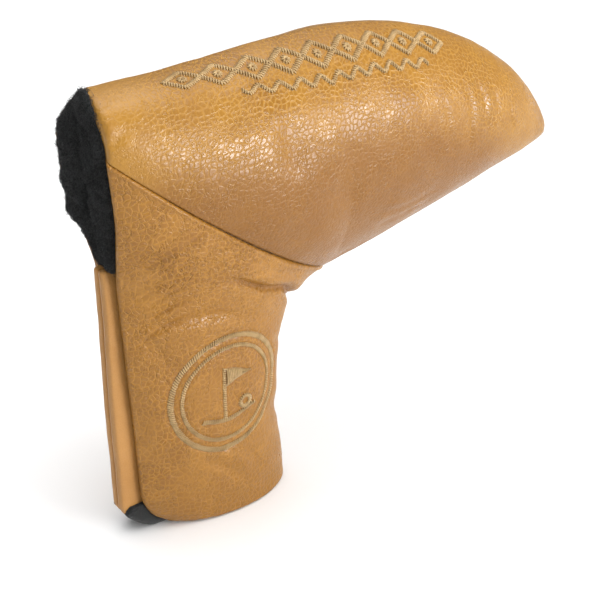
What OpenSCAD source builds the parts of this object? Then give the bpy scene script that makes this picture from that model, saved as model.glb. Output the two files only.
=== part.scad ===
// Blade putter head cover in leather, lined with black faux fur.
// Frame: +X towards the toe, +Z up. The sole side is up and the leg points down.
// -Y is the near side, which carries the badge. Origin: centre of the shaft opening.

/* [Head pocket] */
// Back edge of the heel opening
heel_x = -27; // [-28:0.5:-26]
// Height of the sole at the heel opening
heel_top_z = 130.5; // [129:0.5:132]
// Greatest height of the sole
sole_z = 133.8; // [132.5:0.1:135]
// Toe tip, measured from the leg's centre
toe_x = 133; // [129:0.5:136]
// Height of the toe tip
toe_z = 85.5; // [83:0.5:88]
// Fullness of each side of the pocket
head_half = 27; // [25:0.5:28]

/* [Leg] */
// Where the pocket's underside meets the front of the leg, along X
crotch_x = 46; // [44:0.5:48]
// Height of that corner
crotch_z = 63; // [61:0.5:65]
// Front fold of the leg at the shaft opening
leg_front_x = 29.5; // [28:0.5:31]
// Back edge of the leg's walls at closure height
leg_back_x = -21.5; // [-22.5:0.5:-21]
// Fullness of each side of the leg
leg_half = 17; // [16:0.5:18]

/* [Materials] */
// Thickness of the leather
leather_t = 1.6; // [1.2:0.1:1.8]
// Thickness of the faux fur lining, pressed down
lining_t = 2.8; // [2:0.1:3]
// Gap between the two leather edges at each seam
seam_gap = 1.2; // [1:0.1:1.4]
// Diameter of the seam thread
thread_d = 0.7; // [0.5:0.05:0.8]
// Diameter of the embroidery thread
stitch_d = 0.8; // [0.6:0.05:0.9]

/* [Closure] */
// Lower end of the closure strips
strip_low_z = 7; // [6:0.5:9]
// Upper end of the closure strips
strip_top_z = 83; // [80:0.5:84]
// How far the strips stand behind the leg's walls
strip_reach = 4.5; // [4:0.1:5]
// Half thickness of the closed fin
fin_half = 3; // [2.9:0.1:3.2]
// Gap between the hook and the loop faces
closure_gap = 0.3; // [0.3:0.05:0.4]

/* [Embroidery] */
// Radius of the round badge on the leg
badge_r = 17.5; // [14:0.5:18]
// Length of one embroidery stitch
stitch_len = 2.2; // [1.8:0.1:2.6]
// Number of diamonds along the sole
diamond_count = 9; // [7:1:10]

/* [Hidden] */
near = -1;
far = 1;
layer_gap = 0.3;
tan_leather = [0.74, 0.52, 0.27];
leg_leather = [0.70, 0.47, 0.22];
strip_leather = [0.72, 0.53, 0.33];
fur_black = [0.08, 0.08, 0.08];
tape_black = [0.12, 0.12, 0.12];
thread_tan = [0.62, 0.50, 0.28];

// Depths below the outer surface: the leather's inside, then the lining's two faces
leather_in = leather_t;
lining_out = leather_t + layer_gap;
lining_in = lining_out + lining_t;

// Seam between head and leg, from the back edge down to the crotch, as [x, z]
seam_top_z = 116;
seam_back = [heel_x, seam_top_z];
crotch = [crotch_x, crotch_z];
toe_tip = [toe_x, toe_z];
seam_sag = 3;
underside_sag = 1;

// Half thickness of the cover along that seam, as the four values of a curve
near_seam_halves = [11.5, 21, 19, 0];
far_seam_halves = [15, 21, 19, 0];

// Share of the head's length whose lower edge lies on that seam
seam_share = 0.46;

// Sole, as two curves that meet level at its highest point
sole_peak = [44, sole_z];
sole_heel_curve = [[heel_x, heel_top_z], [5, heel_top_z + 0.5], [20, sole_z], sole_peak];
sole_toe_curve = [sole_peak, [84, sole_z - 1], [121, 116], toe_tip];

// Fullness of a head section along the pocket, as shares of head_half
bulge = [[0, 0.44], [0.12, 0.67], [0.3, 0.93], [0.5, 1.02], [0.7, 0.94], [0.85, 0.68],
         [0.95, 0.34], [1, 0]];
near_shoulder = [[0, 0.48], [0.12, 0.62], [0.3, 0.79], [0.5, 0.86], [0.7, 0.68], [0.85, 0.44],
                 [0.95, 0.2], [1, 0]];
far_shoulder = [[0, 0.15], [0.12, 0.26], [0.3, 0.48], [0.5, 0.7], [0.7, 0.7], [0.85, 0.48],
                [0.95, 0.22], [1, 0]];
belly_s = 0.295;

// How a deeper layer of the pocket draws in: towards the toe, at its lower edge, and at its closing point
toe_pull = 0.0205;
edge_lift = 1.3;
pole_pull = [-1.4, 0, 0.6];

// Back edge of the leg's walls, with its rounded lower corner, as [z, x]
leg_back_line = [[0, leg_back_x + 9.5], [6, leg_back_x + 3], [12, leg_back_x + 0.7],
                 [40, leg_back_x - 0.5], [86, leg_back_x - 2.8], [seam_top_z, heel_x]];

// Front fold of the leg, from the crotch down, as [x, z]
leg_front_line = [crotch, [36, 58.5], [30, 52.5], [28, 42], [27.5, 22], [29, 10], [leg_front_x, 0]];

// Half thickness of the leg at its back edge, as [share of the way down, half], and near the front fold
leg_back_halves = [[0.26, 8], [1, 5]];
leg_fold_half = 13;

// Share of the leg's height over which its section changes from the seam's to its own
blend_w = 0.35;

// Fold line on which each wing of the leg turns outwards, as [x, z]
fold_top = [-25.8, 112];
fold_foot = [17, 0];
fold_length = norm(fold_top - fold_foot);
fold_normal = [fold_top[1] - fold_foot[1], fold_foot[0] - fold_top[0]] / fold_length;
fold_gap = 0.6;
wing_start = 0.06;

// Numbers of rows and columns in the leather and lining sheets
head_rows = 22;
head_cols = 9;
leg_rows = 12;
leg_cols = 9;
wing_cols = 5;

// Plain helpers
function lerp(a, b, k) = a + (b - a) * k;
function smooth(k) = let (c = min(1, max(0, k))) c * c * (3 - 2 * c);
function bezier(p, t) = pow(1 - t, 3) * p[0] + 3 * t * pow(1 - t, 2) * p[1]
                      + 3 * t * t * (1 - t) * p[2] + pow(t, 3) * p[3];
function flatten(lists) = [for (list = lists) each list];
function unit(v) = v / norm(v);

// Smooth curve through a list of points, with t from 0 to 1
function spline(p, t) =
    let (last = len(p) - 1,
         i = min(last - 1, floor(t * last)),
         k = t * last - i,
         a = p[i],
         b = p[i + 1],
         before = i > 0 ? p[i - 1] : 2 * a - b,
         after = i + 2 <= last ? p[i + 2] : 2 * b - a)
    0.5 * (2 * a + (b - before) * k + (2 * before - 5 * a + 4 * b - after) * k * k
           + (3 * a - before - 3 * b + after) * pow(k, 3));

// The seam: share of its length, point in the X-Z plane, and half thickness of the cover there
function seam_share_at(t) = bezier([0, 0.2, 0.75, 1], t);
function seam_xz(t) =
    let (s = seam_share_at(t))
    lerp(seam_back, crotch, s) - [0, 4 * seam_sag * s * (1 - s)];
function seam_halves(side) = side == near ? near_seam_halves : far_seam_halves;
function seam_half(t, side) = bezier(seam_halves(side), t);

function sole_xz(u) = u < 0.5 ? bezier(sole_heel_curve, 2 * u) : bezier(sole_toe_curve, 2 * u - 1);
function underside_xz(v) = lerp(crotch, toe_tip, v) - [0, 4 * underside_sag * v * (1 - v)];

// Point of the head pocket: u runs heel to toe, t runs from the lower edge up to the sole
function head_point(u, t, side, inset) =
    let (v = u * (1 - toe_pull * inset),
         seam_t = min(1, v / seam_share),
         edge_half = v < seam_share ? seam_half(seam_t, side) : 0,
         low = v < seam_share ? seam_xz(seam_t) : underside_xz((v - seam_share) / (1 - seam_share)),
         top = sole_xz(v),
         height = norm(top - low),
         open = inset > 0 ? min(1, edge_half / inset) : 1,
         edge_s = (seam_gap / 2 + edge_lift * inset * (1 - open)) / height,
         top_s = 1 - inset / height,
         turn_s = side == near ? top_s : top_s * lerp(0.85, 1, min(1, 2 * v)),
         belly = max(lookup(v, bulge) * head_half, edge_half),
         shoulder = lookup(v, side == near ? near_shoulder : far_shoulder) * head_half,
         s = bezier([edge_s, belly_s, turn_s, top_s], t),
         h = bezier([max(edge_half - inset, seam_gap / 2), max(belly - inset, 0.8),
                     max(shoulder - inset, 0.6), 0], t),
         p = lerp(low, top, s))
    [p[0], side * h, p[1]];

// Closing point of the pocket at the toe
function head_pole(inset) = [toe_x, 0, toe_z] + inset * pole_pull;

function leg_back(w) = let (z = seam_top_z * (1 - w)) [lookup(z, leg_back_line), z];
function leg_front(w) = spline(leg_front_line, w);

// Point of the leg: w runs from the seam down to the hem, t from the back edge to the front fold
function leg_point(w, t, side, inset) =
    let (e = smooth(w / blend_w),
         back = leg_back(w),
         front = leg_front(w),
         width = norm(front - back),
         at_seam = seam_halves(side),
         back_half = lookup(w, concat([[0, at_seam[0]]], leg_back_halves)),
         front_s = 1 - lerp(1.6, 1, e) * inset / width,
         s = bezier([0, lerp(0.2, 0.3, e), lerp(0.75, 1, e) * front_s, front_s], t),
         h = bezier([back_half - inset, lerp(at_seam[1], leg_half, e) - inset,
                     lerp(at_seam[2], leg_fold_half, e) - inset, 0], t),
         p = lerp(back, front, s) - [0, 4 * seam_sag * (1 - e) * s * (1 - s)])
    [p[0], side * h, p[1]];

// How far a point lies in front of the fold line, and where a leg section crosses that distance
function past_fold(p) = ([p[0], p[2]] - fold_foot) * fold_normal;
function cut_t(w, side, inset, distance, low_t = 0, high_t = 1, steps = 18) =
    let (t = (low_t + high_t) / 2)
    steps == 0 ? t
    : past_fold(leg_point(w, t, side, inset)) < distance
    ? cut_t(w, side, inset, distance, t, high_t, steps - 1)
    : cut_t(w, side, inset, distance, low_t, t, steps - 1);

// Rows of points across each sheet, at a given depth below the outer surface
function head_row(u, inset) = concat(
    [for (i = [0 : head_cols]) head_point(u, i / head_cols, near, inset)],
    [for (i = [head_cols - 1 : -1 : 0]) head_point(u, i / head_cols, far, inset)]);
function leg_row(w, inset) =
    let (near_t = cut_t(w, near, inset, fold_gap / 2), far_t = cut_t(w, far, inset, fold_gap / 2))
    concat([for (i = [0 : leg_cols]) leg_point(w, lerp(near_t, 1, i / leg_cols), near, inset)],
           [for (i = [leg_cols - 1 : -1 : 0]) leg_point(w, lerp(far_t, 1, i / leg_cols), far, inset)]);
function wing_row(w, side, inset, back_t) =
    let (front_t = cut_t(w, side, inset, -fold_gap / 2),
         first_t = min(back_t, 0.8 * front_t))
    [for (i = [0 : wing_cols]) leg_point(w, lerp(first_t, front_t, i / wing_cols), side, inset)];

// Closed solid between an outer and an inner grid of points, with an optional closing point each
module sheet(outer, inner, poles = []) {
    rows = len(outer);
    cols = len(outer[0]);
    size = rows * cols;
    function at(layer, i, j) = layer * size + i * cols + j;
    function quad(a, b, c, d) = [[a, b, c], [a, c, d]];
    faces = flatten(concat(
        [for (i = [0 : rows - 2], j = [0 : cols - 2])
            quad(at(0, i, j), at(0, i, j + 1), at(0, i + 1, j + 1), at(0, i + 1, j))],
        [for (i = [0 : rows - 2], j = [0 : cols - 2])
            quad(at(1, i, j), at(1, i + 1, j), at(1, i + 1, j + 1), at(1, i, j + 1))],
        [for (i = [0 : rows - 2]) quad(at(0, i, 0), at(0, i + 1, 0), at(1, i + 1, 0), at(1, i, 0))],
        [for (i = [0 : rows - 2])
            quad(at(0, i, cols - 1), at(1, i, cols - 1), at(1, i + 1, cols - 1), at(0, i + 1, cols - 1))],
        [for (j = [0 : cols - 2]) quad(at(0, 0, j), at(1, 0, j), at(1, 0, j + 1), at(0, 0, j + 1))],
        len(poles) == 0
        ? [for (j = [0 : cols - 2])
            quad(at(0, rows - 1, j), at(0, rows - 1, j + 1), at(1, rows - 1, j + 1), at(1, rows - 1, j))]
        : pole_faces(rows, cols)));
    polyhedron(concat(flatten(outer), flatten(inner), poles), faces);
}
function pole_faces(rows, cols) =
    let (size = rows * cols,
         outer_row = size - cols,
         inner_row = 2 * size - cols,
         outer_pole = 2 * size,
         inner_pole = 2 * size + 1)
    concat(
        [for (j = [0 : cols - 2]) [[outer_row + j, outer_row + j + 1, outer_pole]]],
        [for (j = [0 : cols - 2]) [[inner_row + j + 1, inner_row + j, inner_pole]]],
        [[[outer_row, outer_pole, inner_pole], [outer_row, inner_pole, inner_row]]],
        [[[outer_row + cols - 1, inner_row + cols - 1, inner_pole],
          [outer_row + cols - 1, inner_pole, outer_pole]]]);

// Parts of the cover that don't move
module upper_sheet(outside, inside, first_u) {
    last_u = 0.975;
    steps = [for (i = [0 : head_rows]) lerp(first_u, last_u, i / head_rows)];
    sheet([for (u = steps) head_row(u, outside)], [for (u = steps) head_row(u, inside)],
          [head_pole(outside), head_pole(inside)]);
}
module upper_shell() {
    color(tan_leather) upper_sheet(0, leather_in, 0);
}
module upper_lining() {
    color(fur_black) upper_sheet(lining_out, lining_in, 0.01);
}
module leg_sheet(outside, inside) {
    steps = [for (i = [0 : leg_rows]) lerp(0.008, 1, pow(i / leg_rows, 1.15))];
    sheet([for (w = steps) leg_row(w, outside)], [for (w = steps) leg_row(w, inside)]);
}
module leg_shell() {
    color(leg_leather) leg_sheet(0, leather_in);
}
module leg_lining() {
    color(fur_black) leg_sheet(lining_out, lining_in);
}

// Wings of the leg, which turn outwards when the closure is pulled open
module wing_sheet(side, outside, inside, back_ts) {
    steps = [for (i = [0 : leg_rows]) lerp(wing_start, 1, 1 - pow(1 - i / leg_rows, 1.5))];
    outer = [for (w = steps) wing_row(w, side, outside, lookup(w, back_ts))];
    inner = [for (w = steps) wing_row(w, side, inside, lookup(w, back_ts))];
    if (side == near) sheet(outer, inner);
    else sheet(inner, outer);
}
module leg_wing(side) {
    color(leg_leather) wing_sheet(side, 0, leather_in, [[0, 0], [1, 0]]);
}
module wing_lining(side) {
    color(fur_black) wing_sheet(side, lining_out, lining_in, [[0, 0], [0.2, 0], [0.26, 0.15], [1, 0.15]]);
}
module near_leg_wing() { leg_wing(near); }
module far_leg_wing() { leg_wing(far); }
module near_wing_lining() { wing_lining(near); }
module far_wing_lining() { wing_lining(far); }

// Threads: a tube along a list of points, closed at both ends
module tube(path, radius, sides = 6) {
    last = len(path) - 1;
    rings = [for (i = [0 : last])
        let (along = unit(path[min(last, i + 1)] - path[max(0, i - 1)]),
             across = unit(cross(along, [0, 1, 0.01])),
             up = cross(across, along))
        for (k = [0 : sides - 1])
            path[i] + radius * (across * cos(360 * k / sides) + up * sin(360 * k / sides))];
    walls = [for (i = [0 : last - 1], k = [0 : sides - 1])
        let (m = (k + 1) % sides)
        [i * sides + k, i * sides + m, (i + 1) * sides + m, (i + 1) * sides + k]];
    polyhedron(rings, concat(walls, [[for (k = [sides - 1 : -1 : 0]) k]],
                             [[for (k = [0 : sides - 1]) last * sides + k]]));
}
module seam_thread(side) {
    color(thread_tan)
        tube([for (i = [0 : 24])
                let (t = lerp(0.01, 0.9, i / 24), p = seam_xz(t))
                [p[0], side * (seam_half(t, side) - leather_t / 2), p[1]]], thread_d / 2);
}
module near_seam_thread() { seam_thread(near); }
module far_seam_thread() { seam_thread(far); }
module toe_seam_thread() {
    depth = 1.5;
    color(thread_tan)
        tube([for (i = [0 : 16]) let (p = underside_xz(lerp(0.04, 0.95, i / 16))) [p[0], 0, p[1] + depth]],
             thread_d / 2);
}

// Closure: two leather strips that stand behind the walls, faced with hook and loop tape
strip_back_x = leg_back_x - strip_reach;
strip_w = 13;
strip_front_x = strip_back_x + strip_w;
strip_t = 1.5;
glue_gap = 0.1;
turned_t = fin_half - closure_gap / 2 - glue_gap / 2;
tape_back_x = strip_back_x + 3;
tape_margin = 0.5;
module mirrored(side) {
    mirror([0, side == near ? 1 : 0, 0]) children();
}
module strip(side) {
    color(strip_leather) mirrored(side) translate([0, 0, strip_low_z])
        linear_extrude(strip_top_z - strip_low_z) {
            translate([strip_back_x + turned_t / 2, fin_half - turned_t / 2]) circle(d = turned_t, $fn = 32);
            translate([strip_back_x + turned_t / 2, fin_half - turned_t]) square([1.2, turned_t]);
            translate([strip_back_x + turned_t / 2, fin_half - strip_t])
                square([strip_front_x - strip_back_x - turned_t / 2, strip_t]);
        }
}
module tape(side) {
    tape_t = fin_half - strip_t - closure_gap / 2 - glue_gap;
    color(tape_black) mirrored(side)
        translate([tape_back_x, closure_gap / 2, strip_low_z + 1])
        cube([strip_front_x - tape_margin - tape_back_x, tape_t, strip_top_z - strip_low_z - 2]);
}
module strip_stitches(side) {
    pitch = 4;
    color(thread_tan) mirrored(side)
        for (z = [strip_low_z + 3 : pitch : strip_top_z - 4])
            translate([strip_front_x - 1.2, fin_half + 0.4, z]) cylinder(h = 3, d = 0.6, $fn = 16);
}
module near_strip() { strip(near); }
module far_strip() { strip(far); }
module hook_tape() { tape(near); }
module loop_tape() { tape(far); }
module near_strip_stitches() { strip_stitches(near); }
module far_strip_stitches() { strip_stitches(far); }

// Embroidery: each stitch is a short thread that lies on the leather
module stitch(a, b, out) {
    lift = stitch_d / 2 + 0.2;
    along = b - a;
    color(thread_tan) translate(a + lift * out)
        rotate([0, acos(along[2] / norm(along)), atan2(along[1], along[0])])
        cylinder(h = norm(along), d = stitch_d, $fn = 8);
}

// Stitches of equal length along a line of points, as pairs of ends
function line_stitches(line) =
    [for (i = [0 : len(line) - 2])
        let (count = max(1, round(norm(line[i + 1] - line[i]) / (stitch_len + 0.5))))
        for (k = [0 : count - 1])
            [lerp(line[i], line[i + 1], (k + 0.1) / count), lerp(line[i], line[i + 1], (k + 0.9) / count)]];

// Row of diamonds along the sole, on the near side of its ridge
module sole_embroidery() {
    from_x = -7;
    to_x = 81;
    mid_t = 0.86;
    half_t = 0.075;
    step = (to_x - from_x) / diamond_count;
    u_at_x = [for (i = [0 : 40]) [sole_xz(i / 40)[0], i / 40]];
    function sole_point(q) = head_point(lookup(q[0], u_at_x), q[1], near, 0);
    function sole_out(q) =
        unit(cross(sole_point(q + [0.5, 0]) - sole_point(q - [0.5, 0]),
                   sole_point(q + [0, 0.01]) - sole_point(q - [0, 0.01])));
    for (i = [0 : diamond_count - 1]) {
        mid = [from_x + (i + 0.5) * step, mid_t];
        corners = [mid - [0.45 * step, 0], mid + [0, half_t], mid + [0.45 * step, 0], mid - [0, half_t]];
        for (c = [0 : 3], half = [0, 1]) {
            a = lerp(corners[c], corners[(c + 1) % 4], half == 0 ? 0.1 : 0.55);
            b = lerp(corners[c], corners[(c + 1) % 4], half == 0 ? 0.45 : 0.9);
            stitch(sole_point(a), sole_point(b), sole_out((a + b) / 2));
        }
    }
}

// Round badge on the leg: two rings, a flag on its pin, a ball and the ground line
badge_w = 0.57;
badge_t = 0.45;
arc_steps = 40;
arc_ts = [for (i = [0 : arc_steps]) lerp(0.02, 0.98, i / arc_steps)];
arc_pts = [for (t = arc_ts) leg_point(badge_w, t, near, 0)];
function step_length(i) = i < arc_steps ? norm(arc_pts[i + 1] - arc_pts[i]) : 0;
arc_sums = [for (i = 0, sum = 0; i <= arc_steps; sum = sum + step_length(i), i = i + 1) sum];
arc_mid = lookup(badge_t, [for (i = [0 : arc_steps]) [arc_ts[i], arc_sums[i]]]);
arc_table = [for (i = [0 : arc_steps]) [arc_sums[i] - arc_mid, arc_ts[i]]];
function badge_point(q) =
    let (t = lookup(q[0], arc_table),
         rise = norm(leg_point(badge_w + 0.01, t, near, 0) - leg_point(badge_w - 0.01, t, near, 0)) / 0.02)
    leg_point(badge_w - q[1] / rise, t, near, 0);
function badge_out(q) =
    unit(cross(badge_point(q + [0.1, 0]) - badge_point(q - [0.1, 0]),
               badge_point(q + [0, 0.1]) - badge_point(q - [0, 0.1])));
function circle_line(mid, radius, from, to, count) =
    [for (i = [0 : count]) mid + radius * [cos(lerp(from, to, i / count)), sin(lerp(from, to, i / count))]];
badge_lines = [
    circle_line([0, 0], badge_r, 0, 360, 36),
    circle_line([0, 0], badge_r - 2, 0, 360, 32),
    [[-2, -8], [-2, 10]],
    [[-2, 10], [8, 6.5], [-2, 3]],
    circle_line([5, -5.5], 1.8, 0, 360, 5),
    circle_line([0, -30], 22, 68, 112, 7)];
module badge_stitches(is_front) {
    margin = fold_gap / 2 + stitch_d;
    for (line = badge_lines, ends = line_stitches(line)) {
        a = badge_point(ends[0]);
        b = badge_point(ends[1]);
        lies_in_front = min(past_fold(a), past_fold(b)) > margin;
        lies_behind = max(past_fold(a), past_fold(b)) < -margin;
        if (is_front ? lies_in_front : lies_behind) stitch(a, b, badge_out((ends[0] + ends[1]) / 2));
    }
}
module badge_front_stitches() { badge_stitches(true); }
module badge_back_stitches() { badge_stitches(false); }

upper_shell();
leg_shell();
near_leg_wing();
far_leg_wing();
upper_lining();
leg_lining();
near_wing_lining();
far_wing_lining();
near_seam_thread();
far_seam_thread();
toe_seam_thread();
near_strip();
far_strip();
hook_tape();
loop_tape();
near_strip_stitches();
far_strip_stitches();
sole_embroidery();
badge_front_stitches();
badge_back_stitches();
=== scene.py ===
"""Looks of a leather blade putter head cover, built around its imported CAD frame.

Lengths in this script are millimetres until a mesh is made, when they become metres. +X is the toe,
+Z the sole side, -Y the near side with the badge. The origin is the centre of the shaft opening.
"""
import math

import bmesh
import bpy
import numpy as np
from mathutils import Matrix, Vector, noise


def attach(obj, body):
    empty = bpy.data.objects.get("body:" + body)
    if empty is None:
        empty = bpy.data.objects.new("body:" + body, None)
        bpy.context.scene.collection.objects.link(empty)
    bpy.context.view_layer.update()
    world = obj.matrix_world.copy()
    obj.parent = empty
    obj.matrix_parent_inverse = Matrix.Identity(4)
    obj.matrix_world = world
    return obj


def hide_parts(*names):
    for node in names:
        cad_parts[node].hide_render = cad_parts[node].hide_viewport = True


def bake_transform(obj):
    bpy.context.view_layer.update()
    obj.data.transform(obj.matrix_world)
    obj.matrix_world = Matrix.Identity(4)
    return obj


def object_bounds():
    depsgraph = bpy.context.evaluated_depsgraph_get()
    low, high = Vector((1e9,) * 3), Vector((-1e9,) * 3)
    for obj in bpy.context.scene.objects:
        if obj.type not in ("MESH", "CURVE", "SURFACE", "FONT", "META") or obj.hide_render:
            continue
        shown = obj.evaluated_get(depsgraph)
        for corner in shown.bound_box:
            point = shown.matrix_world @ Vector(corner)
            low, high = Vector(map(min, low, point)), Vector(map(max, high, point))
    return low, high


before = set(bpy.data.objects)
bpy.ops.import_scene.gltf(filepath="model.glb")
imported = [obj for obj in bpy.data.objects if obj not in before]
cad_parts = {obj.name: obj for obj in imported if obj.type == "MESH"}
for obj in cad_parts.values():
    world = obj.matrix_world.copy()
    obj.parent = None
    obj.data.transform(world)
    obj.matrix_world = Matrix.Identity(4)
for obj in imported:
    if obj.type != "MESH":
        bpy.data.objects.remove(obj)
cad_lo, cad_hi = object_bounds()

MM = 0.001
NEAR, FAR = -1, 1

# ---------------------------------------------------------------- sizes, as the CAD part has them
HEEL_X, TOE_X = (v * 1000 for v in (cad_lo.x, cad_hi.x))
SEAM_BACK = (HEEL_X, 116.0)
CROTCH = (46.0, 63.0)
TOE_TIP = (TOE_X, 85.5)
SEAM_SAG, UNDERSIDE_SAG = 3.0, 1.0
SEAM_SHARE = 0.46
HEAD_HALF = 27.0
SOLE_PEAK = (44.0, 133.8)
SOLE_HEEL_CURVE = (HEEL_X, 130.5), (5.0, 131.0), (20.0, 133.8), SOLE_PEAK
SOLE_TOE_CURVE = SOLE_PEAK, (84.0, 132.8), (121.0, 116.0), TOE_TIP
LEG_HALF = 17.0
LEG_BACK_X = -21.5
LEG_FRONT = CROTCH, (35.2, 59.3), (30.0, 52.5), (28.0, 42.0), (27.5, 22.0), (29.0, 10.0), (29.5, 0.0)
LEATHER_T = 1.6
LINING_OUT, LINING_IN, LINING_GAP = 1.8, 4.6, 0.3
STRIP_LOW_Z, STRIP_TOP_Z = 7.0, 83.0

# The wings bend outwards from this fold line, given by its top and its foot in the X-Z plane
FOLD_TOP, FOLD_FOOT = np.array((-25.8, 112.0)), np.array((17.0, 0.0))

# Fullness of the head pocket along its length, as shares of HEAD_HALF
BELLY = {
    NEAR: ((0, 0.44), (0.12, 0.68), (0.3, 0.98), (0.5, 1.09), (0.7, 1.0), (0.85, 0.72), (0.95, 0.36), (1, 0)),
    FAR: ((0, 0.44), (0.12, 0.67), (0.3, 0.93), (0.5, 1.02), (0.7, 0.94), (0.85, 0.68), (0.95, 0.34), (1, 0)),
}
SHOULDER = {
    NEAR: ((0, 0.48), (0.12, 0.55), (0.3, 0.62), (0.5, 0.65), (0.7, 0.54), (0.85, 0.38), (0.95, 0.18), (1, 0)),
    FAR: ((0, 0.15), (0.12, 0.26), (0.3, 0.48), (0.5, 0.7), (0.7, 0.7), (0.85, 0.48), (0.95, 0.22), (1, 0)),
}
SEAM_HALVES = {NEAR: (11.5, 21, 19, 0), FAR: (15, 21, 19, 0)}
BACK_HALVES = {
    NEAR: ((0, 11.5), (0.14, 10.4), (0.24, 7.6), (0.33, 5.4), (1, 4.6)),
    FAR: ((0, 15), (0.1, 16.4), (0.17, 15), (0.24, 9), (0.32, 5.4), (1, 4.6)),
}
LEG_BACK = ((0, LEG_BACK_X + 9.5), (6, LEG_BACK_X + 3), (12, LEG_BACK_X + 0.7), (40, LEG_BACK_X - 0.5),
            (86, LEG_BACK_X - 2.8), (116, HEEL_X))


# ---------------------------------------------------------------- curves and surfaces
def lerp(a, b, k):
    return a + (b - a) * k


def smooth(k):
    k = np.clip(k, 0, 1)
    return k * k * (3 - 2 * k)


def bezier(p, t):
    """Cubic curve through numbers or points p, at every t."""
    p = [np.asarray(q, float) for q in p]
    if p[0].ndim == 1 and p[0].shape[0] == 2:
        t = t[..., None]
    return (1 - t) ** 3 * p[0] + 3 * t * (1 - t) ** 2 * p[1] + 3 * t * t * (1 - t) * p[2] + t ** 3 * p[3]


def through(x, stations):
    """Smooth curve without overshoot through [place, value] stations."""
    xs, ys = np.array(stations, float).T
    step = np.diff(xs)
    rise = np.diff(ys) / step
    slope = np.zeros_like(ys)
    slope[0], slope[-1] = rise[0], rise[-1]
    product = rise[1:] * rise[:-1]
    keep = product > 0
    slope[1:-1][keep] = 2 * product[keep] / (rise[1:] + rise[:-1])[keep]
    i = np.clip(np.searchsorted(xs, x, "right") - 1, 0, len(step) - 1)
    k = (x - xs[i]) / step[i]
    return ((1 + 2 * k) * (1 - k) ** 2 * ys[i] + k * (1 - k) ** 2 * step[i] * slope[i]
            + k * k * (3 - 2 * k) * ys[i + 1] + k * k * (k - 1) * step[i] * slope[i + 1])


def spline(points, t):
    """Smooth curve through a list of points, t from 0 to 1."""
    p = np.array(points, float)
    p = np.vstack([2 * p[0] - p[1], p, 2 * p[-1] - p[-2]])
    last = len(p) - 3
    i = np.clip(np.floor(t * last).astype(int), 0, last - 1)
    k = (t * last - i)[..., None]
    a, b, c, d = p[i], p[i + 1], p[i + 2], p[i + 3]
    return 0.5 * (2 * b + (c - a) * k + (2 * a - 5 * b + 4 * c - d) * k ** 2 + (3 * b - a - 3 * c + d) * k ** 3)


def seam_xz(t):
    s = bezier((0, 0.2, 0.75, 1), t)[..., None]
    return lerp(np.array(SEAM_BACK), np.array(CROTCH), s) - np.array((0, 4 * SEAM_SAG)) * s * (1 - s)


def sole_xz(u):
    heel = bezier(SOLE_HEEL_CURVE, np.clip(2 * u, 0, 1))
    toe = bezier(SOLE_TOE_CURVE, np.clip(2 * u - 1, 0, 1))
    return np.where(u[..., None] < 0.5, heel, toe)


def underside_xz(v):
    v = v[..., None]
    return lerp(np.array(CROTCH), np.array(TOE_TIP), v) - np.array((0, 4 * UNDERSIDE_SAG)) * v * (1 - v)


def head_point(u, t, side):
    """Outer surface of the head pocket: u from heel to toe, t from its lower edge up to the sole."""
    seam_t = np.clip(u / SEAM_SHARE, 0, 1)
    past = np.clip((u - SEAM_SHARE) / (1 - SEAM_SHARE), 0, 1)
    on_seam = u < SEAM_SHARE
    edge = np.where(on_seam, bezier(SEAM_HALVES[side], seam_t), 0)
    low = np.where(on_seam[..., None], seam_xz(seam_t), underside_xz(past))
    top = sole_xz(u)
    full = smooth(u / 0.3)
    turn = lerp(1, 0.95, full) if side == NEAR else lerp(0.85, 1, np.clip(2 * u, 0, 1))
    rise = lerp(0.3, 0.36, full) if side == NEAR else 0.3
    belly = np.maximum(through(u, BELLY[side]) * HEAD_HALF, edge)
    shoulder = through(u, SHOULDER[side]) * HEAD_HALF
    s = bezier((0, rise, turn, 1), t)
    h = bezier((edge, belly, shoulder, 0), t)
    xz = lerp(low, top, s[..., None])
    return np.stack([xz[..., 0], side * h, xz[..., 1]], -1)


def leg_point(w, t, side):
    """Outer surface of the leg: w from the seam to the hem, t from the back edge to the front fold."""
    e = smooth(w / 0.35)
    z = 116 * (1 - w)
    back = np.stack([through(z, LEG_BACK), z], -1)
    front = spline(LEG_FRONT, w)
    halves = SEAM_HALVES[side]
    back_half = through(w, BACK_HALVES[side])
    s = bezier((0, lerp(0.2, 0.3, e), lerp(0.75, 1, e), 1), t)
    h = bezier((back_half, lerp(halves[1], LEG_HALF, e), lerp(halves[2], 13, e), 0), t)
    xz = lerp(back, front, s[..., None])
    sag = 4 * SEAM_SAG * (1 - e) * s * (1 - s)
    return np.stack([xz[..., 0], side * h, xz[..., 1] - sag], -1)


def past_fold(points):
    """How far points lie on the leg's fixed side of the fold line."""
    along = FOLD_TOP - FOLD_FOOT
    normal = np.array((along[1], -along[0])) / np.linalg.norm(along)
    return (points[..., (0, 2)] - FOLD_FOOT) @ normal


# ---------------------------------------------------------------- working on grids of points
def outward(grid):
    """Unit normals of a grid, which point away from the object's middle plane."""
    n = np.cross(np.gradient(grid, axis=0), np.gradient(grid, axis=1))
    n /= np.maximum(np.linalg.norm(n, axis=-1, keepdims=True), 1e-9)
    return n if (n[..., 1] * grid[..., 1]).sum() > 0 else -n


def distance_from(grid, border):
    """Length along the grid from one border: 'first_row', 'last_row', 'first_col' or 'last_col'."""
    axis = 0 if "row" in border else 1
    step = np.linalg.norm(np.diff(grid, axis=axis), axis=-1)
    far = np.concatenate([np.zeros_like(step.take([0], axis)), np.cumsum(step, axis)], axis)
    return far if "first" in border else far.take([-1], axis) - far


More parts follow.
